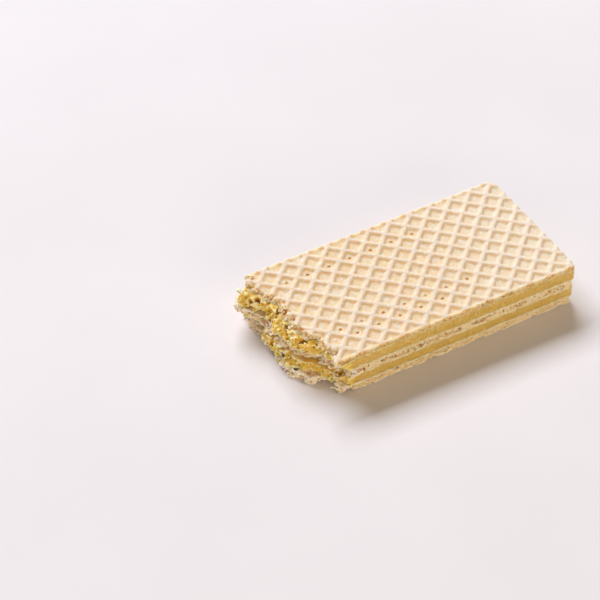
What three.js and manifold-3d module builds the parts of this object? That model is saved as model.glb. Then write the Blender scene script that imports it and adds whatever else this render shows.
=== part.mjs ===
// A vanilla cream wafer biscuit, broken across its length: three wafer sheets with two layers of cream.
// Millimetres, +Z up. +X runs along the biscuit to its unbroken end, and +Y runs across it.
// The origin is under the middle of the piece, on the plane that it rests on.
import * as THREE from "three";
import { mergeGeometries, mergeVertices } from "three/addons/utils/BufferGeometryUtils.js";
import Module from "manifold-3d";

const wasm = await Module();
wasm.setup();

// Driving dimensions: the lattice of ribs sets the scale of everything else.
const RIB_PITCH = 4.5; // between neighbouring parallel ribs
const WIDTH = 9 * RIB_PITCH;
const FRONT_RADIUS = 1.2; // of the two corners of the unbroken end, in plan
const BACK_RADIUS = 3;
const CORNER_SEGMENTS = 6;

// Embossed lattice. Its ribs run at 45 degrees to the edges, so its cells are diamonds in plan.
const CREST_WIDTH = 0.8;
const FLOOR_SIDE = 2.75;
const CELL_DEPTH = 0.65;
const CELL_SIDES = 4;
const CELL_DIAGONAL = RIB_PITCH * Math.SQRT2;
const FIRST_CELL = 4.97; // from the unbroken end to the middle of a cell in the middle row
const ROW_SHIFT = -0.3; // of the middle row from the centre line
const CUT_MARGIN = 0.4; // how far a cutting shape reaches past the face that it cuts

// Vent holes in the top sheet: the row across, counted from the middle row, and the cells along it.
const VENT_DIAMETER = 0.9;
const VENT_DEPTH = 0.5;
const VENT_TAPER = 0.5; // width at the bottom of a vent, as a share of its mouth
const VENT_SIDES = 6;
const VENT_ROWS = [
  { row: 4, first: 4, count: 7 },
  { row: -3, first: 4, count: 7 },
  { row: -4, first: 5, count: 6 },
];

// The break. Each layer's reach from the unbroken end, at mid height, is given at even steps, front to back.
const BREAK_STATIONS = 54; // points of the broken edge, front to back
const LEAN = 0.38; // how far a broken face leans to its neighbour's: at a half the two would meet
const SEED_STEP = 131; // spreads neighbouring points over the random numbers
const CREAM = { colour: 0xd9b65c, roughness: 0.6, levels: 5, crag: 0.5 };
const SHEET = { colour: 0xf0dcbc, roughness: 0.85, levels: 4, crag: 0.3 };

// The layers from the bottom up. inset is how far a layer stands back from the sides, end from the end,
// and core how far the middle of its broken face stands back from the face's two edges.
const LAYERS = [
  {
    name: "bottom_sheet",
    stuff: SHEET,
    thickness: 2.6,
    inset: 0.2,
    end: 0.7,
    core: 0.7,
    reach: [71.0, 73.0, 76.5, 79.0, 80.0, 78.0, 77.9, 78.4, 78.8, 77.6],
  },
  {
    name: "lower_cream",
    stuff: CREAM,
    thickness: 2.9,
    inset: 0,
    end: 0.3,
    core: 0,
    reach: [69.0, 72.0, 76.0, 78.2, 78.8, 79.9, 79.9, 76.9, 76.2, 76.9],
  },
  {
    name: "middle_sheet",
    stuff: SHEET,
    thickness: 2.7,
    inset: 0.3,
    end: 0.6,
    core: 0.7,
    reach: [67.9, 70.0, 72.0, 75.2, 77.5, 77.9, 77.2, 79.7, 82.0, 79.7],
  },
  {
    name: "upper_cream",
    stuff: CREAM,
    thickness: 3.2,
    inset: 0,
    end: 0,
    core: 0,
    reach: [71.2, 72.0, 73.5, 76.5, 77.9, 77.5, 77.2, 79.0, 80.9, 75.9],
  },
  {
    name: "top_sheet",
    stuff: SHEET,
    thickness: 1.5,
    inset: 0,
    end: 0,
    core: 0,
    reach: [73.0, 71.4, 71.7, 73.5, 74.5, 74.2, 73.5, 75.5, 77.5, 76.9],
  },
];

// A repeatable number from -1 to 1 for a set of whole numbers.
function jitter(...keys) {
  const seed = keys.reduce((sum, key) => sum * SEED_STEP + key, 1);
  return 2 * THREE.MathUtils.seededRandom(seed) - 1;
}

// How far a layer reaches, a share of the way from the front to the back.
function reachAt(layer, share) {
  const stops = layer.reach.map((reach, k) => new THREE.Vector2(k, reach));
  return new THREE.SplineCurve(stops).getPoint(share).y;
}

// How far a broken face leans out, towards the layer above over its upper half and the one below it else.
function leanAt(index, level, share) {
  const neighbour = LAYERS[level > 0.5 ? index + 1 : index - 1];
  if (!neighbour) return 0;
  const toNeighbour = reachAt(neighbour, share) - reachAt(LAYERS[index], share);
  return LEAN * Math.abs(2 * level - 1) * toNeighbour;
}

// The broken edge at a level, from 0 at the layer's bottom to 1 at its top: a smooth line made craggy.
function brokenEdge(index, level) {
  const layer = LAYERS[index];
  const { crag, levels } = layer.stuff;
  const half = WIDTH / 2 - layer.inset;
  const setBack = layer.core * Math.sin(Math.PI * level);
  return Array.from({ length: BREAK_STATIONS + 1 }, (_, k) => {
    const share = k / BREAK_STATIONS;
    const reach = reachAt(layer, share) + leanAt(index, level, share);
    const jut = crag * jitter(index, k, Math.round(level * levels));
    return new THREE.Vector2(setBack + jut - reach, half * (2 * share - 1));
  });
}

// A layer's outline at a level: two straight sides, a rounded end and the broken edge.
function outline(index, level) {
  const layer = LAYERS[index];
  const half = WIDTH / 2 - layer.inset;
  const edge = brokenEdge(index, level);
  const shape = new THREE.Shape();
  shape.absarc(-layer.end - FRONT_RADIUS, FRONT_RADIUS - half, FRONT_RADIUS, -Math.PI / 2, 0, false);
  shape.absarc(-layer.end - BACK_RADIUS, half - BACK_RADIUS, BACK_RADIUS, 0, Math.PI / 2, false);
  edge.reverse().forEach((point) => shape.lineTo(point.x, point.y));
  return shape.getPoints(CORNER_SEGMENTS);
}

// A layer lofted through its outlines, closed by a flat face below and above.
function layerGeometry(index, bottom) {
  const { thickness, stuff } = LAYERS[index];
  const rings = Array.from({ length: stuff.levels + 1 }, (_, k) => outline(index, k / stuff.levels));
  const count = rings[0].length;
  const last = stuff.levels * count;
  const places = rings.flatMap((ring, k) =>
    ring.flatMap(({ x, y }) => [x, y, bottom + (thickness * k) / stuff.levels]),
  );
  const corners = [];
  for (let low = 0; low < last; low += count) {
    for (let i = 0; i < count; i++) {
      const next = (i + 1) % count;
      corners.push(low + i, low + next, low + count + next);
      corners.push(low + i, low + count + next, low + count + i);
    }
  }
  const cap = (ring) => THREE.ShapeUtils.triangulateShape(ring, []);
  cap(rings[0]).forEach(([a, b, c]) => corners.push(a, c, b));
  cap(rings[stuff.levels]).forEach(([a, b, c]) => corners.push(last + a, last + b, last + c));
  const geometry = new THREE.BufferGeometry();
  geometry.setAttribute("position", new THREE.Float32BufferAttribute(places, 3));
  geometry.setIndex(corners);
  geometry.computeVertexNormals();
  return geometry;
}

// A closed geometry as a solid that can be cut, and back again.
function toSolid(geometry) {
  const bare = geometry.clone();
  bare.deleteAttribute("normal");
  bare.deleteAttribute("uv");
  const merged = mergeVertices(bare);
  return new wasm.Manifold(
    new wasm.Mesh({
      numProp: 3,
      vertProperties: new Float32Array(merged.getAttribute("position").array),
      triVerts: new Uint32Array(merged.index.array),
    }),
  );
}

function toGeometry(solid) {
  const mesh = solid.getMesh();
  const geometry = new THREE.BufferGeometry();
  geometry.setAttribute("position", new THREE.BufferAttribute(new Float32Array(mesh.vertProperties), 3));
  geometry.setIndex(new THREE.BufferAttribute(new Uint32Array(mesh.triVerts), 1));
  geometry.computeVertexNormals();
  return geometry;
}

// The middle of a lattice cell. Rows lie half a diagonal apart, and every second row is shifted by as much.
function cellMiddle(row, column) {
  const shift = row % 2 === 0 ? 0 : -CELL_DIAGONAL / 2;
  return { x: -(FIRST_CELL + shift + column * CELL_DIAGONAL), y: ROW_SHIFT + (row * CELL_DIAGONAL) / 2 };
}

// One sunken cell, open upwards: a square frustum whose mouth lies at height zero.
function cellCutter() {
  const toRadius = (side) => side / Math.SQRT2;
  const mouth = toRadius(RIB_PITCH - CREST_WIDTH);
  const floor = toRadius(FLOOR_SIDE);
  const top = mouth + ((mouth - floor) * CUT_MARGIN) / CELL_DEPTH;
  const height = CELL_DEPTH + CUT_MARGIN;
  const cutter = new THREE.CylinderGeometry(top, floor, height, CELL_SIDES);
  cutter.rotateX(Math.PI / 2);
  cutter.translate(0, 0, height / 2 - CELL_DEPTH);
  return cutter;
}

// The cells of a whole face, as one cutting solid. A face that looks down has them turned over.
function latticeCutter(faceZ, facesUp) {
  const rows = Math.ceil(WIDTH / CELL_DIAGONAL) + 1;
  const columns = Math.ceil(Math.max(...LAYERS.flatMap((layer) => layer.reach)) / CELL_DIAGONAL) + 1;
  const cells = [];
  for (let row = -rows; row <= rows; row++) {
    for (let column = -1; column <= columns; column++) {
      const { x, y } = cellMiddle(row, column);
      const cell = cellCutter();
      if (!facesUp) cell.rotateX(Math.PI);
      cells.push(cell.translate(x, y, faceZ));
    }
  }
  return toSolid(mergeGeometries(cells));
}

function ventCutter(faceZ) {
  const floorZ = faceZ - CELL_DEPTH;
  const height = VENT_DEPTH + CUT_MARGIN;
  const mouth = VENT_DIAMETER / 2;
  const vents = VENT_ROWS.flatMap(({ row, first, count }) =>
    Array.from({ length: count }, (_, k) => {
      const { x, y } = cellMiddle(row, first + k);
      const vent = new THREE.CylinderGeometry(mouth, mouth * VENT_TAPER, height, VENT_SIDES);
      vent.rotateX(Math.PI / 2);
      return vent.translate(x, y, floorZ + height / 2 - VENT_DEPTH);
    }),
  );
  return toSolid(mergeGeometries(vents));
}

const wafer = new THREE.Group();
const pieceBox = new THREE.Box3();
let height = 0;
LAYERS.forEach((layer, index) => {
  let geometry = layerGeometry(index, height);
  const top = height + layer.thickness;
  if (layer.name === "top_sheet") {
    const embossed = toSolid(geometry).subtract(latticeCutter(top, true)).subtract(ventCutter(top));
    geometry = toGeometry(embossed);
  }
  if (layer.name === "bottom_sheet") {
    geometry = toGeometry(toSolid(geometry).subtract(latticeCutter(height, false)));
  }
  const { colour, roughness } = layer.stuff;
  const material = new THREE.MeshStandardMaterial({ color: colour, roughness, metalness: 0 });
  const mesh = new THREE.Mesh(geometry, material);
  mesh.name = layer.name;
  wafer.add(mesh);
  geometry.computeBoundingBox();
  pieceBox.union(geometry.boundingBox);
  height = top;
});

// The piece is built from its unbroken end, so it moves along to stand over its own middle.
wafer.position.x = -(pieceBox.min.x + pieceBox.max.x) / 2;

export default wafer;
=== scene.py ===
"""The looks of a broken cream wafer biscuit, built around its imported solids.

Each layer's solid is turned into a field of distances, which takes bubbles, crumbs and grain that the
solid is too coarse for. The field is then meshed again and given its material. Lengths are in millimetres
until a mesh is made.
"""

import itertools
import math

import bmesh
import bpy
import numpy as np
import openvdb
from mathutils import Euler, Matrix, Vector
from mathutils.bvhtree import BVHTree


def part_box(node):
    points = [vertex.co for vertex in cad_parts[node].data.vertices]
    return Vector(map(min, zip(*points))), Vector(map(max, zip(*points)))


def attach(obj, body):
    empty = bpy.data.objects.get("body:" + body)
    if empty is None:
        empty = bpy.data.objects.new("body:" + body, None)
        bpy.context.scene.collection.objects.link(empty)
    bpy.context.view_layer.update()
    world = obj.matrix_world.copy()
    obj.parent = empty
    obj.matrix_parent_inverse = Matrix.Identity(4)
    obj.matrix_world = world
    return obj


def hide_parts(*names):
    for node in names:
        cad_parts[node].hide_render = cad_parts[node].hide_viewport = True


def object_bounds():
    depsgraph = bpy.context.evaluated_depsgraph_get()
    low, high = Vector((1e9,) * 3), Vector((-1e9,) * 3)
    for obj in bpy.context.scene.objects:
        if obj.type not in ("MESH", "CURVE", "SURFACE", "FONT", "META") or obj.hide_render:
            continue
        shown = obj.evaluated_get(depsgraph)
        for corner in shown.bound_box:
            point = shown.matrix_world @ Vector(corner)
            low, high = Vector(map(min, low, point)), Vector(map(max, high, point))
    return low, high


MM = 0.001

# Distance fields
FIELD_MARGIN = 6  # grid points kept outside a layer
FIELD_DEPTH = 2.2  # how deep inside a layer distances are kept
BREAK_DEPTH = 9.0  # how far in from the break a layer is worked on
FLATNESS = 0.01  # how readily flat faces are meshed with few triangles
FAR = 100.0
EMBOSSED_VOXEL = 0.21  # grid step of the two embossed sheets
PLAIN_VOXEL = 0.16  # grid step of the other layers
OVERLAP = 0.25  # how far neighbouring layers reach into each other, so that no gap shows

# The corners of the unbroken end, in plan
FRONT_RADIUS = 1.2
BACK_RADIUS = 3.0

# The embossed lattice of the top sheet
CELL_DEPTH = 0.65
VENT_DEPTH = 0.5
VENT_FILL = 0.15  # crumb left at the bottom of a vent
VENT_WIDENING = 0.2
VENT_CLEARANCE = 4.0  # no vent is cut nearer than this to a side or the break
MARGIN_RISE = 0.42  # how far the cells' floors rise towards the cut sides
MARGIN_WIDTH = 1.6  # of the strip where they rise

# Crumbs that cling to the break
CRUMB_SEED = 71
CRUMBS_A_KIND = 70
CRUMB_RADII = (0.25, 0.8)
CRUMB_FACETS = 12
CRUMB_LIFT = 0.35  # of a crumb's middle above what it clings to, as a share of its least radius
CRUMB_SPAN = 20.0  # how far in from the broken end crumbs may lie

# Camera, measured from the unbroken end and the centre line
AIM_FROM_END = 62.35
AIM_ACROSS = 16.6
CAMERA_AZIMUTH = -29.31
CAMERA_ELEVATION = 42.67
CAMERA_ROLL = -0.68
CAMERA_DISTANCE = 669.7
CAMERA_LENS = 151.5

# Light: a soft window behind, a warm card in front and a warm room
KEY = {"azimuth": 178, "elevation": 43.5, "distance": 2.6, "width": 2.2, "height": 1.0, "power": 90}
KEY_COLOUR = (0.885, 0.911, 1.0)
CARD = {"azimuth": -9, "elevation": 14, "distance": 1.0, "width": 0.9, "height": 0.5, "power": 4.3}
CARD_COLOUR = (1.0, 0.86, 0.67)
ROOM_COLOUR = (1.0, 0.86, 0.69)
ROOM_STRENGTH = 0.25
FLOOR_SIZE = 4.0


def smooth_step(low, high, value):
    t = np.clip((value - low) / (high - low), 0, 1)
    return t * t * (3 - 2 * t)


def blur(values, passes):
    """Evens a grid out, a little more with each pass."""
    values = values.copy()
    for _ in range(passes):
        for k in range(3):
            line = np.moveaxis(values, k, 0)
            line[1:-1] = 0.5 * line[1:-1] + 0.25 * (line[:-2] + line[2:])
    return values


def node_mesh(node):
    """A solid's points, in millimetres, and its triangles."""
    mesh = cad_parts[node].data
    mesh.calc_loop_triangles()
    points = np.empty(len(mesh.vertices) * 3, np.float32)
    mesh.vertices.foreach_get("co", points)
    triangles = np.empty(len(mesh.loop_triangles) * 3, np.int32)
    mesh.loop_triangles.foreach_get("vertices", triangles)
    return points.reshape(-1, 3) / np.float32(MM), triangles.reshape(-1, 3).astype(np.uint32)


class Field:
    """Distances from a layer's surface to the points of an even grid, below zero inside the layer."""

    def __init__(self, node, voxel, seed):
        points, triangles = node_mesh(node)
        self.node = node
        self.voxel = voxel
        self.random = np.random.default_rng(seed)
        self.low, self.high = points.min(axis=0), points.max(axis=0)
        self.start = np.floor(self.low / voxel).astype(int) - FIELD_MARGIN
        stop = np.ceil(self.high / voxel).astype(int) + FIELD_MARGIN + 1
        grid = openvdb.FloatGrid.createLevelSetFromPolygons(
            points,
            triangles=triangles,
            transform=openvdb.createLinearTransform(voxelSize=voxel),
            exBandWidth=float(FIELD_MARGIN),
            inBandWidth=FIELD_DEPTH / voxel,
        )
        self.solid = np.empty(stop - self.start, np.float32)
        grid.copyToArray(self.solid, ijk=tuple(self.start.tolist()))
        self.shape = self.solid.copy()
        axes = [(self.start[k] + np.arange(self.solid.shape[k])) * voxel for k in range(3)]
        self.x = axes[0][:, None, None].astype(np.float32)
        self.y = axes[1][None, :, None].astype(np.float32)
        self.z = axes[2][None, None, :].astype(np.float32)
        self.measure_break(axes)
        self.measure_sides()

    def measure_break(self, axes):
        """Finds the broken face, and how far each place lies from it."""
        inside = self.solid < 0
        self.face_x = axes[0][inside.argmax(axis=0)]  # for each y and z
        self.face_x[~inside.any(axis=0)] = np.nan
        known = inside.any(axis=(0, 2))
        edge = np.nanmean(self.face_x[known], axis=1)
        self.edge = np.interp(axes[1], axes[1][known], edge)
        self.from_break = self.x - self.edge[None, :, None].astype(np.float32)
        self.break_part = slice(0, int(np.searchsorted(axes[0], self.edge.max() + BREAK_DEPTH)))

    def measure_sides(self):
        """Finds how far each place lies from the cut sides and the end, round their corners."""
        front, back = self.y - self.low[1], self.high[1] - self.y
        end = self.high[0] - self.x
        self.from_side = np.minimum(np.minimum(front, back), end)
        for side, radius in ((front, FRONT_RADIUS), (back, BACK_RADIUS)):
            in_corner = (side < radius) & (end < radius)
            from_arc = radius - np.hypot(radius - side, radius - end)
            self.from_side = np.where(in_corner, from_arc, self.from_side)

    def baked_face(self, up):
        """1 on the embossed face that looks up, or down, and 0 on what is cut or broken below it."""
        solid, levels = self.solid, self.z.ravel()
        outermost = self.high[2] if up else self.low[2]
        if up:
            solid, levels = solid[:, :, ::-1], levels[::-1]
        first = (solid < 0).argmax(axis=2)
        inner = np.take_along_axis(solid, first[:, :, None], 2)[:, :, 0]
        outer = np.take_along_axis(solid, np.maximum(first - 1, 0)[:, :, None], 2)[:, :, 0]
        step = np.maximum(outer - inner, self.voxel / 2)
        sunk = np.abs(levels[first] - outermost) + self.voxel * inner / step
        is_face = (inner < 0) & (sunk < CELL_DEPTH + 0.15)
        below = np.abs(self.z - outermost) - np.where(is_face, sunk, -FAR)[:, :, None]
        return 1 - smooth_step(0.15, 0.35, below)

    def near_break(self, reach):
        return 1 - smooth_step(0, reach, self.from_break)

    def near_side(self, reach):
        return 1 - smooth_step(0, reach, np.minimum(self.from_side, self.from_break))

    def noise(self, wavelength):
        """Smooth random values from -1 to 1 all over the grid."""
        steps = []
        for axis in (self.x, self.y, self.z):
            flat = axis.ravel() / wavelength
            steps.append(flat - flat[0] + self.random.uniform())
        values = self.random.uniform(-1, 1, [int(step[-1]) + 2 for step in steps]).astype(np.float32)
        for k in (2, 1, 0):
            whole = np.floor(steps[k]).astype(int)
            part = (steps[k] - whole).astype(np.float32)
            part = part * part * (3 - 2 * part)
            part = part.reshape([-1 if axis == k else 1 for axis in range(3)])
            low = np.take(values, whole, axis=k)
            high = np.take(values, whole + 1, axis=k)
            values = low + (high - low) * part
        return values

    def roughen(self, amplitude, wavelength, where=1.0):
        self.shape += (amplitude * self.noise(wavelength) * where).astype(np.float32)

    def soften(self, passes):
        self.shape = blur(self.shape, passes)

    def square_off(self, margin, low=True, high=True):
        """Carries the outline from just inside a contact face past it, to keep the edge there sharp."""
        levels = self.z.ravel()
        if low:
            level = np.searchsorted(levels, self.low[2] + margin)
            self.shape[:, :, :level] = self.shape[:, :, level, None]
        if high:
            level = np.searchsorted(levels, self.high[2] - margin) - 1
            self.shape[:, :, level + 1:] = self.shape[:, :, level, None]

    def fill_margin(self, up):
        """Lets the cells run out towards the cut sides, where the sheet's face rises to its crests."""
        level = np.searchsorted(self.z.ravel(), (self.low[2] + self.high[2]) / 2)
        outline = self.solid[:, :, level, None]
        rise = MARGIN_RISE * smooth_step(MARGIN_WIDTH, 0.2, self.from_side)
        if up:
            fill = self.z - (self.high[2] - CELL_DEPTH + rise)
        else:
            fill = self.low[2] + CELL_DEPTH - rise - self.z
        self.shape = np.minimum(self.shape, np.maximum(fill, outline))

    def overlap(self):
        """How far the layer reaches into its neighbour: unevenly where that may show, and evenly inside."""
        outer = np.maximum(self.near_side(2.0), self.near_break(8.0))
        return OVERLAP * (0.8 + 0.8 * outer * self.noise(1.3))

    def ledge(self, drop):
        """How far the layer's upper face lies lower, unevenly, where it stands out at the break."""
        return drop * self.near_break(3.0) * (0.7 + self.noise(0.9))

    def confine(self, low, high):
        """Keeps the layer between two heights."""
        self.shape = np.maximum(self.shape, np.maximum(self.z - high, low - self.z))

    def cut(self, hollow, part=slice(None)):
        """Takes away where the hollow's field is above zero."""
        self.shape[part] = np.maximum(self.shape[part], hollow)

    def grains(self, size):
        """Splits the part near the break into grains: a random number for each, and the way to its wall."""
        part = self.break_part
        axes = [axis / np.float32(size) for axis in (self.x[part], self.y, self.z)]
        first = [int(np.floor(axis.min() - 0.5)) for axis in axes]
        base = [np.floor(axis - 0.5).astype(int) - start for axis, start in zip(axes, first)]
        count = [int(b.max()) + 2 for b in base]
        seeds = self.random.uniform(0.05, 0.95, (*count, 3)).astype(np.float32)
        tones = self.random.uniform(-1, 1, count).astype(np.float32)
        shape = np.broadcast_shapes(*(axis.shape for axis in axes))
        nearest = np.full(shape, np.inf, np.float32)
        second = np.full(shape, np.inf, np.float32)
        tone = np.zeros(shape, np.float32)
        for corner in itertools.product((0, 1), repeat=3):
            cell = tuple(b + step for b, step in zip(base, corner))
            seed = seeds[cell]
            away = sum((axes[k] - first[k] - cell[k] - seed[..., k]) ** 2 for k in range(3))
            closer = away < nearest
            second = np.where(closer, nearest, np.minimum(second, away))
            tone = np.where(closer, tones[cell], tone)
            nearest = np.where(closer, away, nearest)
        return tone, size * (np.sqrt(second) - np.sqrt(nearest)) / 2

    def foam(self, size, wall, reach, share):
        """Opens a share of the larger bubbles where they meet the broken face."""
        tone, to_wall = self.grains(size)
        part = self.break_part
        hollow = np.minimum(to_wall - wall / 2, reach - self.from_break[part])
        self.cut(np.where(tone < 2 * share - 1, hollow, np.float32(-1)), part)

    def dimples(self, size, depth, reach, share):
        """Sinks a share of the bubbles that the broken face cuts through, and leaves their walls standing."""
        tone, wall = self.grains(size)
        part = self.break_part
        sunk = np.where(tone < 2 * share - 1, depth, 0) * smooth_step(0.05 * size, 0.35 * size, wall)
        self.shape[part] += (self.near_break(reach)[part] * sunk).astype(np.float32)

    def stamp(self, centres, radii, hollow):
        """Takes ellipsoids out of the layer, or adds them to it."""
        reach = radii + 3 * self.voxel
        low = np.floor((centres - reach) / self.voxel).astype(int) - self.start
        high = np.ceil((centres + reach) / self.voxel).astype(int) - self.start + 1
        low = np.clip(low, 0, self.solid.shape)
        high = np.clip(high, 0, self.solid.shape)
        for centre, radius, first, last in zip(centres, radii, low, high):
            cut = tuple(slice(a, b) for a, b in zip(first, last))
            dx = (self.x[cut[0]] - centre[0]) / radius[0]
            dy = (self.y[:, cut[1]] - centre[1]) / radius[1]
            dz = (self.z[:, :, cut[2]] - centre[2]) / radius[2]
            away = (np.sqrt(dx * dx + dy * dy + dz * dz) - 1) * radius.min()
            block = self.shape[cut]
            self.shape[cut] = np.maximum(block, -away) if hollow else np.minimum(block, away)

    def on_sides(self, count, low_z, high_z, depth):
        """Random points just inside the cut sides and the unbroken end."""
        length, width = self.high[0] - self.low[0], self.high[1] - self.low[1]
        along = self.random.uniform(0, 2 * length + width, count)
        inward = self.random.uniform(*depth, count)
        front, back = along < length, along >= length + width
        x = np.where(front, self.low[0] + along, self.high[0] - inward)
        x = np.where(back, self.high[0] - (along - length - width), x)
        y = np.where(front, self.low[1] + inward, self.low[1] + (along - length))
        y = np.where(back, self.high[1] - inward, y)
        return np.stack([x, y, self.random.uniform(low_z, high_z, count)], axis=1)

    def on_break(self, count, low_z, high_z, depth):
        """Random points about the broken face."""
        y = self.random.uniform(self.low[1], self.high[1], count)
        z = self.random.uniform(low_z, high_z, count)
        row = np.round(y / self.voxel).astype(int) - self.start[1]
        level = np.round(z / self.voxel).astype(int) - self.start[2]
        x = self.face_x[row, level] + self.random.uniform(*depth, count)
        points = np.stack([x, y, z], axis=1)
        return points[~np.isnan(x)]

    def clustered(self, points, wavelength, share):
        """A share of the points, those where a slow noise is highest."""
        value = self.read(self.noise(wavelength), points)
        return points[value > np.quantile(value, 1 - share)]

    def sizes(self, count, low, high):
        """Random radii along x, y and z, from the three lows to the three highs."""
        return self.random.uniform(low, high, (count, 3))

    def read(self, values, points):
        """Values of the grid at some points, blended between the grid points around each."""
        values = np.broadcast_to(values, self.solid.shape)
        spot = points / self.voxel - self.start
        base = np.clip(np.floor(spot).astype(int), 0, np.array(values.shape) - 2)
        part = np.clip(spot - base, 0, 1)
        total = np.zeros(len(points))
        for corner in itertools.product((0, 1), repeat=3):
            share = np.prod(np.where(corner, part, 1 - part), axis=1)
            i, j, k = (base + corner).T
            total += share * values[i, j, k]
        return total

    def mesh(self):
        """The layer's surface: its points, and its faces as lists of three or four."""
        background = float(self.shape.max())
        grid = openvdb.FloatGrid(background)
        grid.transform = openvdb.createLinearTransform(voxelSize=self.voxel)
        grid.copyFromArray(self.shape.astype(np.float32), ijk=tuple(self.start.tolist()))
        points, triangles, quads = grid.convertToPolygons(isovalue=0.0, adaptivity=FLATNESS)
        triangles, quads = triangles.astype(np.int64), quads.astype(np.int64)
        return main_part(points, triangles, quads)


def main_part(points, triangles, quads):
    """The largest connected part of a mesh, without loose scraps and sealed bubbles."""
    pairs = np.concatenate([triangles[:, [0, 1]], triangles[:, [1, 2]], quads[:, [0, 1]], quads[:, [1, 2]],
                            quads[:, [2, 3]]])
    label = np.arange(len(points))
    while True:
        least = np.minimum(label[pairs[:, 0]], label[pairs[:, 1]])
        new = label.copy()
        np.minimum.at(new, pairs[:, 0], least)
        np.minimum.at(new, pairs[:, 1], least)
        new = new[new]
        if (new == label).all():
            break
        label = new
    kept = label == np.bincount(label).argmax()
    index = np.cumsum(kept) - 1
    triangles = index[triangles[kept[triangles[:, 0]]]]
    quads = index[quads[kept[quads[:, 0]]]]
    return points[kept], triangles.tolist() + quads.tolist()


def surface_values(field, points, contacts, skin):
    """What the materials need to know of each point of a layer's surface."""
    part = field.break_part
    cavity = np.zeros_like(field.shape)
    cavity[part] = blur(np.clip(field.shape[part], -2, 2), 40)
    to_contact = np.min([np.abs(field.z - contact) for contact in contacts], axis=0)
    patches = smooth_step(0.05, 0.35, field.noise(1.7) + 0.5 * field.noise(0.6))
    values = {
        "skin": skin,  # the baked face
        # relief and cavity also tell the materials where to paint shade in hollows and highlights on bumps
        "relief": blur(np.clip(field.shape, -1, 1), 8),  # above zero on a bump, below it in a hollow
        "cavity": cavity,  # the same, for larger lumps and hollows of the break
        "broken": field.near_break(4.0),
        "side": field.near_side(0.8),
        "rise": (field.z - field.low[2]) / (field.high[2] - field.low[2]),
        "smear": patches * (1 - smooth_step(0.1, 0.6, to_contact)),  # of the layer that it touches
    }
    return {name: field.read(grid, points).astype(np.float32) for name, grid in values.items()}


def link(name, mesh, material):
    mesh.materials.append(material)
    piece = bpy.data.objects.new(name, mesh)
    bpy.context.scene.collection.objects.link(piece)
    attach(piece, "root")
    return piece


def make_piece(field, name, material, contacts, skin=0.0):
    """A piece of the scene from a layer's field, which stands for the layer's solid."""
    points, faces = field.mesh()
    mesh = bpy.data.meshes.new(name)
    mesh.from_pydata(points * MM, [], [face[::-1] for face in faces])
    for key, values in surface_values(field, points, contacts, skin).items():
        mesh.attributes.new(key, "FLOAT", "POINT").data.foreach_set("value", values)
    mesh.shade_smooth()
    piece = link(name, mesh, material)
    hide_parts(field.node)
    return points, faces


def vents(field, floor):
    """The vent holes of the solid, a little wider: a field that is above zero inside them."""
    level = int(round((floor - VENT_DEPTH / 2) / field.voxel)) - field.start[2]
    across = field.solid[:, :, level] + VENT_WIDENING
    inner = field.near_side(VENT_CLEARANCE)[:, :, 0] == 0
    bottom = floor - VENT_DEPTH + VENT_FILL * (1 + field.noise(5.0)[:, :, :1])
    return np.minimum(np.where(inner, across, np.float32(-1))[:, :, None], field.z - bottom)


def torn_edge(field, low, top):
    """Lets a sheet's lower part reach out past its skin where it is broken, as a ragged slope."""
    reach = 1.2 + 0.8 * field.noise(2.2) + 0.4 * field.noise(0.9)
    reach = reach * smooth_step(0, 3.0, np.minimum(field.y - field.low[1], field.high[1] - field.y))
    down = np.clip((top - field.z) / (top - low), 0, 1)
    slope = np.maximum(-field.from_break - reach * down, field.from_break - 0.3)
    slope = np.maximum(slope, np.maximum(field.low[1] - field.y, field.y - field.high[1]))
    field.shape = np.minimum(field.shape, 0.7 * slope)


def top_sheet():
    field = Field("top_sheet", EMBOSSED_VOXEL, seed=11)
    low, top = field.low[2], field.high[2]
    floor = top - CELL_DEPTH
    field.fill_margin(up=True)
    field.soften(2)
    field.square_off(0.3, high=False)
    field.cut(vents(field, floor))
    rim = 0.2 + 0.12 * field.noise(2.4) + 0.1 * field.noise(0.8)
    field.cut((field.z - top + rim - field.from_side) * 0.7)
    upper = smooth_step(low, low + 0.5, field.z)
    field.roughen(0.04, 1.3, upper)
    field.roughen(0.03, 0.55, upper)
    field.roughen(0.08, 0.7, field.near_side(1.0) * smooth_step(floor + 0.3, floor - 0.1, field.z))
    torn_edge(field, low, top)
    field.roughen(0.3, 1.4, field.near_break(1.5))
    field.roughen(0.15, 0.7, field.near_break(1.5))
    field.dimples(0.8, 0.45, 1.0, 0.6)
    centres = field.on_sides(420, low + 0.1, top - 0.3, (0.0, 0.3))
    field.stamp(centres, field.sizes(len(centres), (0.14, 0.14, 0.14), (0.4, 0.3, 0.3)), hollow=True)
    field.confine(low - field.overlap(), top + 0.1)
    return field


def sponge(field, low, top):
    """Breaks a wafer sheet's face up into a ragged sponge with flakes of its skins."""
    field.roughen(1.0, 3.6, field.near_break(5.0))
    field.roughen(0.5, 1.6, field.near_break(5.0))
    field.foam(2.2, 0.35, 2.0, 0.25)
    field.dimples(0.8, 0.5, 4.0, 0.65)
    flakes = field.on_break(200, low + 0.2, top - 0.1, (-0.6, 0.4))
    field.stamp(flakes, field.sizes(len(flakes), (0.3, 0.15, 0.13), (1.0, 0.7, 0.22)), hollow=False)
    field.roughen(0.1, 0.5, field.near_break(4.0))


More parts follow.
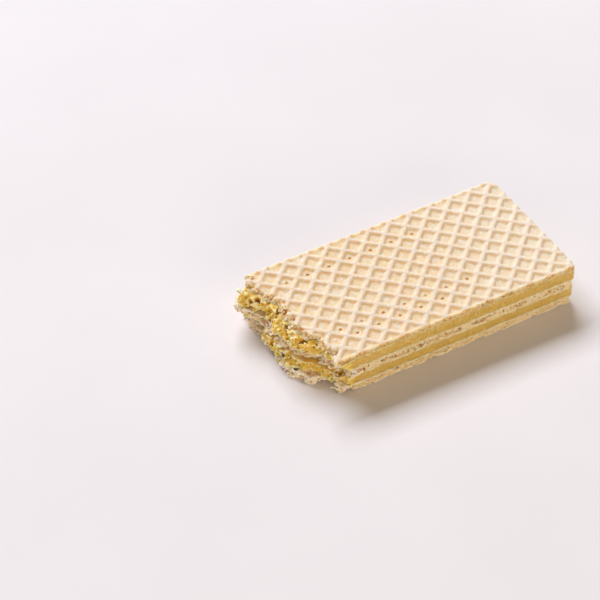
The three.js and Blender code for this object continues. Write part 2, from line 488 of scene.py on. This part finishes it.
def plain_sheet(node, voxel, seed):
    field = Field(node, voxel, seed)
    low, top = field.low[2], field.high[2]
    embossed = node == "bottom_sheet"
    if embossed:
        field.fill_margin(up=False)
    field.soften(1)
    field.square_off(0.5, low=not embossed)
    swell = cad_box[1][1] / MM - field.high[1]
    field.shape -= swell * field.near_side(2.0)
    field.roughen(0.12, 1.6, field.near_side(2.0))
    field.roughen(0.1, 0.6, field.near_side(2.0))
    sponge(field, low, top)
    share = 0.85 if embossed else 0.55
    centres = field.clustered(field.on_sides(1300, low + 0.6, top - 0.7, (-swell, 0.1)), 4.0, share)
    field.stamp(centres, field.sizes(len(centres), (0.2, 0.3, 0.18), (0.65, 0.7, 0.45)), hollow=True)
    centres = field.on_sides(600, low + 0.25, top - 0.25, (-swell, 0.0))
    field.stamp(centres, field.sizes(len(centres), (0.14, 0.14, 0.13), (0.3, 0.3, 0.26)), hollow=True)
    worn = -0.35 * smooth_step(-0.1, 0.6, field.noise(1.6)) * field.near_side(0.9)
    below = worn if embossed else field.overlap()
    field.confine(low - below, top + field.overlap() - field.ledge(0.3))
    return field


def cream_layer(node, seed):
    field = Field(node, PLAIN_VOXEL, seed)
    low, top = field.low[2], field.high[2]
    field.soften(1)
    field.square_off(0.5)
    field.roughen(0.1, 4.0, field.near_side(2.0))
    field.roughen(0.08, 1.1, field.near_side(2.0))
    field.roughen(0.1, 0.5, field.near_side(2.0))
    field.roughen(0.9, 3.4, field.near_break(6.0))
    field.roughen(0.6, 1.8, field.near_break(6.0))
    field.foam(2.0, 0.4, 1.8, 0.25)
    field.dimples(0.95, 0.55, 5.0, 0.65)
    field.roughen(0.1, 0.5, field.near_break(5.0))
    centres = field.on_sides(160, low + 0.3, top - 0.3, (-0.1, 0.1))
    field.stamp(centres, field.sizes(len(centres), (0.12, 0.12, 0.1), (0.35, 0.3, 0.25)), hollow=True)
    field.confine(low - field.overlap(), top + field.overlap() - field.ledge(0.5))
    return field


def ball():
    """The points and triangles of an even ball of radius 1."""
    shell = bmesh.new()
    bmesh.ops.create_icosphere(shell, subdivisions=3, radius=1.0)
    points = np.array([vertex.co for vertex in shell.verts])
    triangles = np.array([[vertex.index for vertex in face.verts] for face in shell.faces])
    shell.free()
    return points, triangles


def near_surface(pieces, reach):
    """The surfaces of the pieces up to a place along x, to cast rays on."""
    points, faces = [], []
    for piece_points, piece_faces in pieces:
        near = piece_points[:, 0] < reach
        start = len(points)
        points.extend(piece_points.tolist())
        faces.extend([start + corner for corner in face[::-1]] for face in piece_faces if near[face[0]])
    return BVHTree.FromPolygons(points, faces)


def landing_places(surface, random, low, high, count):
    """Random places on the break that look outwards or up, each with the way that the surface faces."""
    places = []
    while len(places) < count:
        start = Vector((low[0] - 5, *random.uniform(low[1:], high[1:])))
        way = Vector((1, random.uniform(-0.4, 0.4), random.uniform(-0.8, 0.1)))
        place, normal, _, _ = surface.ray_cast(start, way.normalized())
        if place is not None and place.z > low[2] and normal.z > -0.1:
            places.append((place, normal))
    return places


def make_crumbs(name, material, places, random, values):
    """Faceted lumps, each partly sunk in what it clings to, as one piece."""
    ball_points, ball_triangles = ball()
    points, faces = [], []
    for k, (place, normal) in enumerate(places):
        lump = ball_points.copy()
        for _ in range(CRUMB_FACETS):
            way = random.normal(size=3)
            way /= np.linalg.norm(way)
            above = np.maximum(lump @ way - random.uniform(0.4, 0.8), 0)
            lump -= above[:, None] * way
        radii = random.uniform(*CRUMB_RADII) * random.uniform(0.6, 1.3, 3)
        turn = np.array(Euler(random.uniform(0, math.tau, 3)).to_matrix())
        centre = np.array(place + normal * CRUMB_LIFT * radii.min())
        points.append((lump * radii) @ turn.T + centre)
        faces.append(ball_triangles + k * len(ball_points))
    points = np.concatenate(points)
    mesh = bpy.data.meshes.new(name)
    mesh.from_pydata(points * MM, [], np.concatenate(faces).tolist())
    for key, value in values.items():
        level = np.full(len(points), value, np.float32)
        mesh.attributes.new(key, "FLOAT", "POINT").data.foreach_set("value", level)
    mesh.shade_smooth()
    link(name, mesh, material)


def scatter_crumbs(pieces, cream, wafer):
    random = np.random.default_rng(CRUMB_SEED)
    low = np.array(cad_box[0]) / MM
    high = np.array(cad_box[1]) / MM
    surface = near_surface(pieces, low[0] + CRUMB_SPAN)
    margin = np.array([0.0, 1.0, 0.8])
    places = landing_places(surface, random, low + margin, high - margin, 2 * CRUMBS_A_KIND)
    make_crumbs("cream_crumbs", cream, places[:CRUMBS_A_KIND], random, {"broken": 1.0, "rise": 0.5})
    make_crumbs("wafer_crumbs", wafer, places[CRUMBS_A_KIND:], random, {"side": 1.0, "broken": 1.0})


class Graph:
    """Builds a material. An input is a number, a colour or another node's output."""

    def __init__(self, name):
        self.material = bpy.data.materials.new(name)
        self.material.use_nodes = True
        self.tree = self.material.node_tree
        self.surface = self.tree.nodes["Principled BSDF"]
        self.place = self.add("ShaderNodeTexCoord").outputs["Object"]

    def set(self, node, inputs):
        for key, value in inputs.items():
            if isinstance(value, bpy.types.NodeSocket):
                self.tree.links.new(value, node.inputs[key])
            else:
                node.inputs[key].default_value = value

    def add(self, kind, inputs=None, **settings):
        node = self.tree.nodes.new(kind)
        for key, value in settings.items():
            setattr(node, key, value)
        self.set(node, inputs or {})
        return node

    def attribute(self, name):
        return self.add("ShaderNodeAttribute", attribute_name=name).outputs["Fac"]

    def noise(self, size, detail=2.0, roughness=0.5):
        inputs = {"Vector": self.place, "Scale": 1 / (size * MM), "Detail": detail, "Roughness": roughness}
        return self.add("ShaderNodeTexNoise", inputs).outputs["Fac"]

    def ramp(self, value, low, high, to_low=0.0, to_high=1.0):
        inputs = {"Value": value, "From Min": low, "From Max": high, "To Min": to_low, "To Max": to_high}
        return self.add("ShaderNodeMapRange", inputs, interpolation_type="SMOOTHSTEP").outputs["Result"]

    def times(self, first, second):
        return self.add("ShaderNodeMath", {0: first, 1: second}, operation="MULTIPLY").outputs["Value"]

    def most(self, first, second):
        return self.add("ShaderNodeMath", {0: first, 1: second}, operation="MAXIMUM").outputs["Value"]

    def mix(self, factor, first, second):
        node = self.add("ShaderNodeMix", data_type="RGBA")
        for socket, value in ((node.inputs[0], factor), (node.inputs[6], first), (node.inputs[7], second)):
            if isinstance(value, bpy.types.NodeSocket):
                self.tree.links.new(value, socket)
            else:
                socket.default_value = value
        return node.outputs[2]

    def bump(self, height, distance, strength):
        inputs = {"Height": height, "Distance": distance * MM, "Strength": strength}
        return self.add("ShaderNodeBump", inputs).outputs["Normal"]


def srgb(red, green, blue):
    """A linear colour from display values from 0 to 255."""
    def linear(value):
        value /= 255
        return value / 12.92 if value <= 0.04045 else ((value + 0.055) / 1.055) ** 2.4
    return linear(red), linear(green), linear(blue), 1.0


class WaferTones:
    """Colours of a wafer's cut side: its two main tones, and a painted highlight where it stands out."""

    def __init__(self, light, dark, raised_highlight):
        self.light, self.dark, self.raised_highlight = light, dark, raised_highlight


# the third tone of each is a painted highlight for where the side stands out
GOLDEN = WaferTones(srgb(236, 200, 138), srgb(222, 176, 110), srgb(242, 214, 160))
TAN = WaferTones(srgb(245, 224, 180), srgb(236, 208, 158), srgb(250, 237, 206))
TOASTED = WaferTones(srgb(242, 210, 158), srgb(228, 180, 120), srgb(252, 236, 204))
BROWN = WaferTones(srgb(251, 233, 205), srgb(243, 215, 178), srgb(255, 248, 234))

# The baked face, and what shows where a wafer is cut or broken, with painted highlights, painted shade and a
# painted sheen among them
WAFER_FLOOR = srgb(244, 213, 171)
# painted highlight: the ribs turn whiter towards their crests
WAFER_CREST_HIGHLIGHT = srgb(231, 212, 190)
# painted warm shade on the lower flanks and at the foot of the ribs
RIB_FOOT_SHADE = srgb(252, 219, 156)
BAKED_PATCH = srgb(240, 210, 168)
# painted sheen, strongest at the unbroken end
PAINTED_END_SHEEN = srgb(246, 230, 212)
POWDER = srgb(248, 238, 226)
PALE_GRAIN = srgb(248, 240, 230)
# brown specks, partly the wafer's own and partly painted shade of tiny pits
SPECK_AND_PIT_SHADE = srgb(206, 150, 90)
# painted shade in pores and other hollows, cut and broken
CUT_PORE_SHADE = srgb(100, 62, 28)
BROKEN_PORE_SHADE = srgb(204, 157, 104)
# painted shade in the broad hollows of the break
WAFER_CAVITY_SHADE = srgb(180, 126, 72)
BROWNED = srgb(212, 146, 70)
VENT_WALL = srgb(238, 176, 108)
CREAM_SMEAR = srgb(228, 194, 122)

# Cream, cut and broken, with a painted highlight on its bumps and painted shade in its hollows
CREAM_CUT = srgb(217, 180, 93)
CREAM_CUT_DEEP = srgb(209, 169, 79)
CREAM_UPPER = srgb(222, 186, 105)
CREAM_PALE = srgb(234, 205, 126)
CREAM_CRUMB = srgb(238, 202, 94)
CREAM_CRUMB_DEEP = srgb(227, 182, 66)
WAFER_SMEAR = srgb(224, 190, 138)
# painted highlight on the cream's bumps
CREAM_RAISED_HIGHLIGHT = srgb(252, 238, 192)
# painted shade in the cream's hollows
CREAM_HOLLOW_SHADE = srgb(190, 134, 32)
# painted shade in the broad hollows of the break
CREAM_CAVITY_SHADE = srgb(178, 120, 24)


def wafer_face(graph, along, height, crest_z, floor_z):
    """The pale embossed face, palest at the unbroken end through a painted sheen."""
    rise = graph.ramp(height, floor_z * MM, crest_z * MM)
    # painted highlight: whiter towards the crests of the ribs
    colour = graph.mix(rise, WAFER_FLOOR, WAFER_CREST_HIGHLIGHT)
    # painted warm shade on the lower flanks and at the foot of the ribs
    foot_shade = graph.times(graph.ramp(rise, 0.02, 0.15), graph.ramp(rise, 0.7, 0.3))
    colour = graph.mix(graph.times(foot_shade, 0.7), colour, RIB_FOOT_SHADE)
    colour = graph.mix(graph.ramp(graph.noise(5.0), 0.4, 0.7, 0, 0.6), colour, BAKED_PATCH)
    # painted sheen that grows towards the unbroken end
    colour = graph.mix(graph.ramp(along, -5 * MM, 40 * MM, 0, 0.35), colour, PAINTED_END_SHEEN)
    powder = graph.ramp(graph.noise(5.0, detail=6.0, roughness=0.65), 0.56, 0.7, 0, 0.6)
    colour = graph.mix(powder, colour, POWDER)
    grains = graph.ramp(graph.noise(0.8, detail=3.0, roughness=0.7), 0.5, 0.64, 0, 0.6)
    colour = graph.mix(grains, colour, PALE_GRAIN)
    # brown specks, partly the wafer's own and partly painted shade of tiny pits where none is cut
    specks_and_pit_shade = graph.ramp(graph.noise(0.9, detail=1.0), 0.72, 0.8, 0, 0.6)
    return graph.mix(specks_and_pit_shade, colour, SPECK_AND_PIT_SHADE)


def wafer_section(graph, tones):
    colour = graph.mix(graph.noise(1.4), tones.light, tones.dark)
    # painted highlight where the cut side stands out
    raised_highlight = graph.ramp(graph.attribute("relief"), 0.03, 0.14, 0, 0.6)
    return graph.mix(raised_highlight, colour, tones.raised_highlight)


def wafer_material(name, crest_z, floor_z, side_tones, broken_tones, browned_rim, softness):
    """Baked wafer: pale on its embossed face, porous where it is cut, and browner where it is broken; its
    hollows get painted shade.
    """
    graph = Graph(name)
    place = graph.add("ShaderNodeSeparateXYZ", {"Vector": graph.place}).outputs
    along, height = place["X"], place["Z"]
    broken = graph.ramp(graph.attribute("broken"), 0.1, 0.6)
    cut = graph.mix(broken, wafer_section(graph, side_tones), wafer_section(graph, broken_tones))
    # painted shade in the pores and other hollows of the cut and broken sides
    hollow = graph.ramp(graph.attribute("relief"), -0.03, -0.15, 0, 0.9)
    cut = graph.mix(hollow, cut, graph.mix(broken, CUT_PORE_SHADE, BROKEN_PORE_SHADE))
    # painted shade in the broad hollows of the break
    cavity = graph.ramp(graph.attribute("cavity"), -0.1, -0.6, 0, 0.5)
    cut = graph.mix(cavity, cut, WAFER_CAVITY_SHADE)
    browned = graph.ramp(graph.noise(0.8, detail=1.0), 0.48, 0.6, 0, browned_rim)
    browned = graph.times(browned, graph.ramp(height, (floor_z - 0.9) * MM, (floor_z - 0.3) * MM))
    browned = graph.times(browned, graph.ramp(height, (crest_z - 0.15) * MM, (crest_z - 0.35) * MM))
    cut = graph.mix(browned, cut, BROWNED)
    inner = graph.ramp(graph.most(graph.attribute("side"), graph.attribute("broken")), 0.3, 0.0)
    cut = graph.mix(inner, cut, VENT_WALL)
    smear = graph.ramp(graph.attribute("smear"), 0.3, 0.9, 0, 0.7)
    cut = graph.mix(smear, cut, CREAM_SMEAR)
    face = wafer_face(graph, along, height, crest_z, floor_z)
    grain = graph.noise(0.35, detail=3.0)
    graph.set(graph.surface, {
        "Base Color": graph.mix(graph.attribute("skin"), cut, face),
        "Roughness": 0.85,
        "Specular IOR Level": 0.2,
        "Subsurface Weight": 0.7,
        "Subsurface Radius": (1.0, 0.72, 0.45),
        "Subsurface Scale": softness * MM,
        "Normal": graph.bump(grain, 0.06, 0.6),
    })
    return graph.material


def cream_material():
    graph = Graph("cream")
    side = graph.mix(graph.ramp(graph.noise(3.0), 0.35, 0.65), CREAM_CUT, CREAM_CUT_DEEP)
    rise = graph.ramp(graph.attribute("rise"), 0.2, 1.0, 0, 0.6)
    side = graph.mix(rise, side, CREAM_UPPER)
    pale = graph.ramp(graph.noise(0.9, detail=5.0, roughness=0.7), 0.45, 0.7, 0, 0.6)
    side = graph.mix(pale, side, CREAM_PALE)
    crumb = graph.mix(graph.noise(1.2), CREAM_CRUMB, CREAM_CRUMB_DEEP)
    broken = graph.ramp(graph.attribute("broken"), 0.1, 0.6)
    colour = graph.mix(broken, side, crumb)
    smear = graph.ramp(graph.attribute("smear"), 0.3, 0.9, 0, 0.8)
    colour = graph.mix(smear, colour, WAFER_SMEAR)
    # painted highlight on the bumps
    raised_highlight = graph.ramp(graph.attribute("relief"), 0.03, 0.15, 0, 0.7)
    colour = graph.mix(raised_highlight, colour, CREAM_RAISED_HIGHLIGHT)
    # painted shade in the hollows
    hollow = graph.ramp(graph.attribute("relief"), -0.04, -0.22, 0, 0.7)
    colour = graph.mix(hollow, colour, CREAM_HOLLOW_SHADE)
    # painted shade in the broad hollows of the break
    cavity = graph.ramp(graph.attribute("cavity"), -0.1, -0.6, 0, 0.8)
    colour = graph.mix(cavity, colour, CREAM_CAVITY_SHADE)
    grain = graph.noise(0.3, detail=3.0)
    graph.set(graph.surface, {
        "Base Color": colour,
        "Roughness": 0.65,
        "Specular IOR Level": 0.3,
        "Subsurface Weight": 0.9,
        "Subsurface Radius": (1.0, 0.75, 0.35),
        "Subsurface Scale": 1.6 * MM,
        "Normal": graph.bump(grain, 0.08, 0.7),
    })
    return graph.material


def floor_material():
    graph = Graph("floor")
    tone = graph.ramp(graph.noise(60.0, detail=3.0), 0.3, 0.7)
    graph.set(graph.surface, {
        "Base Color": graph.mix(tone, srgb(233, 229, 230), srgb(236, 232, 233)),
        "Roughness": 0.7,
        "Specular IOR Level": 0.2,
    })
    return graph.material


def build_floor():
    half = FLOOR_SIZE / 2
    mesh = bpy.data.meshes.new("floor")
    corners = [(-half, -half, 0), (half, -half, 0), (half, half, 0), (-half, half, 0)]
    mesh.from_pydata(corners, [], [(0, 1, 2, 3)])
    mesh.materials.append(floor_material())
    floor = bpy.data.objects.new("floor", mesh)
    bpy.context.scene.collection.objects.link(floor)


def direction(azimuth, elevation):
    """The way to a viewer who stands at that azimuth, where 0 is in front of the object."""
    azimuth, elevation = math.radians(azimuth), math.radians(elevation)
    level = math.cos(elevation)
    return Vector((math.sin(azimuth) * level, -math.cos(azimuth) * level, math.sin(elevation)))


def build_panel(name, panel, colour):
    """A rectangular lamp that faces the object."""
    light = bpy.data.lights.new(name, "AREA")
    light.shape = "RECTANGLE"
    light.size = panel["width"]
    light.size_y = panel["height"]
    light.energy = panel["power"]
    light.color = colour
    lamp = bpy.data.objects.new(name, light)
    way = direction(panel["azimuth"], panel["elevation"])
    lamp.location = way * panel["distance"]
    lamp.rotation_euler = (-way).to_track_quat("-Z", "Y").to_euler()
    bpy.context.scene.collection.objects.link(lamp)


def build_lights():
    build_panel("key", KEY, KEY_COLOUR)
    build_panel("card", CARD, CARD_COLOUR)
    world = bpy.data.worlds.new("room")
    world.use_nodes = True
    background = world.node_tree.nodes["Background"]
    background.inputs["Color"].default_value = (*ROOM_COLOUR, 1)
    background.inputs["Strength"].default_value = ROOM_STRENGTH
    bpy.context.scene.world = world
    bpy.context.scene.view_settings.view_transform = "Standard"


def build_camera():
    aim = Vector((cad_box[1][0] - AIM_FROM_END * MM, AIM_ACROSS * MM, 0))
    way = direction(CAMERA_AZIMUTH, CAMERA_ELEVATION)
    camera = bpy.data.objects.new("camera", bpy.data.cameras.new("camera"))
    camera.data.lens = CAMERA_LENS
    turn = (-way).to_track_quat("-Z", "Y").to_matrix().to_4x4()
    roll = Matrix.Rotation(math.radians(CAMERA_ROLL), 4, "Z")
    camera.matrix_world = Matrix.Translation(aim + way * CAMERA_DISTANCE * MM) @ turn @ roll
    bpy.context.scene.collection.objects.link(camera)
    bpy.context.scene.camera = camera


def build_wafer():
    levels = {node: (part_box(node)[0].z / MM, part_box(node)[1].z / MM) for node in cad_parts}
    crest = levels["top_sheet"][1]
    upper_wafer = wafer_material("wafer_upper", crest, crest - CELL_DEPTH, GOLDEN, TOASTED, 0.9, softness=1.9)
    lower_wafer = wafer_material("wafer_lower", 0.0, CELL_DEPTH, TAN, BROWN, 0.0, softness=0.6)
    cream = cream_material()
    bottom = plain_sheet("bottom_sheet", EMBOSSED_VOXEL, seed=21)
    lower = cream_layer("lower_cream", seed=31)
    middle = plain_sheet("middle_sheet", PLAIN_VOXEL, seed=41)
    upper = cream_layer("upper_cream", seed=51)
    top = top_sheet()
    bottom_face, top_face = bottom.baked_face(up=False), top.baked_face(up=True)
    pieces = [
        make_piece(bottom, "bottom_wafer", lower_wafer, levels["bottom_sheet"][1:], bottom_face),
        make_piece(lower, "lower_filling", cream, levels["lower_cream"]),
        make_piece(middle, "middle_wafer", lower_wafer, levels["middle_sheet"]),
        make_piece(upper, "upper_filling", cream, levels["upper_cream"]),
        make_piece(top, "top_wafer", upper_wafer, levels["top_sheet"][:1], top_face),
    ]
    scatter_crumbs(pieces, cream, lower_wafer)


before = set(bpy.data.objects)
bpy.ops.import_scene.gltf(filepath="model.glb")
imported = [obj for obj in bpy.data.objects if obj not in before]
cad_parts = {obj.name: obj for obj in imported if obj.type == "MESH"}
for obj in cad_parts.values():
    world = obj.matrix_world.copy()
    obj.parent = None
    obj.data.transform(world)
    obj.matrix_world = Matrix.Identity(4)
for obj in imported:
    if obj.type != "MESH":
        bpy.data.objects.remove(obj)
cad_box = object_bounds()
build_camera()
build_floor()
build_lights()
build_wafer()
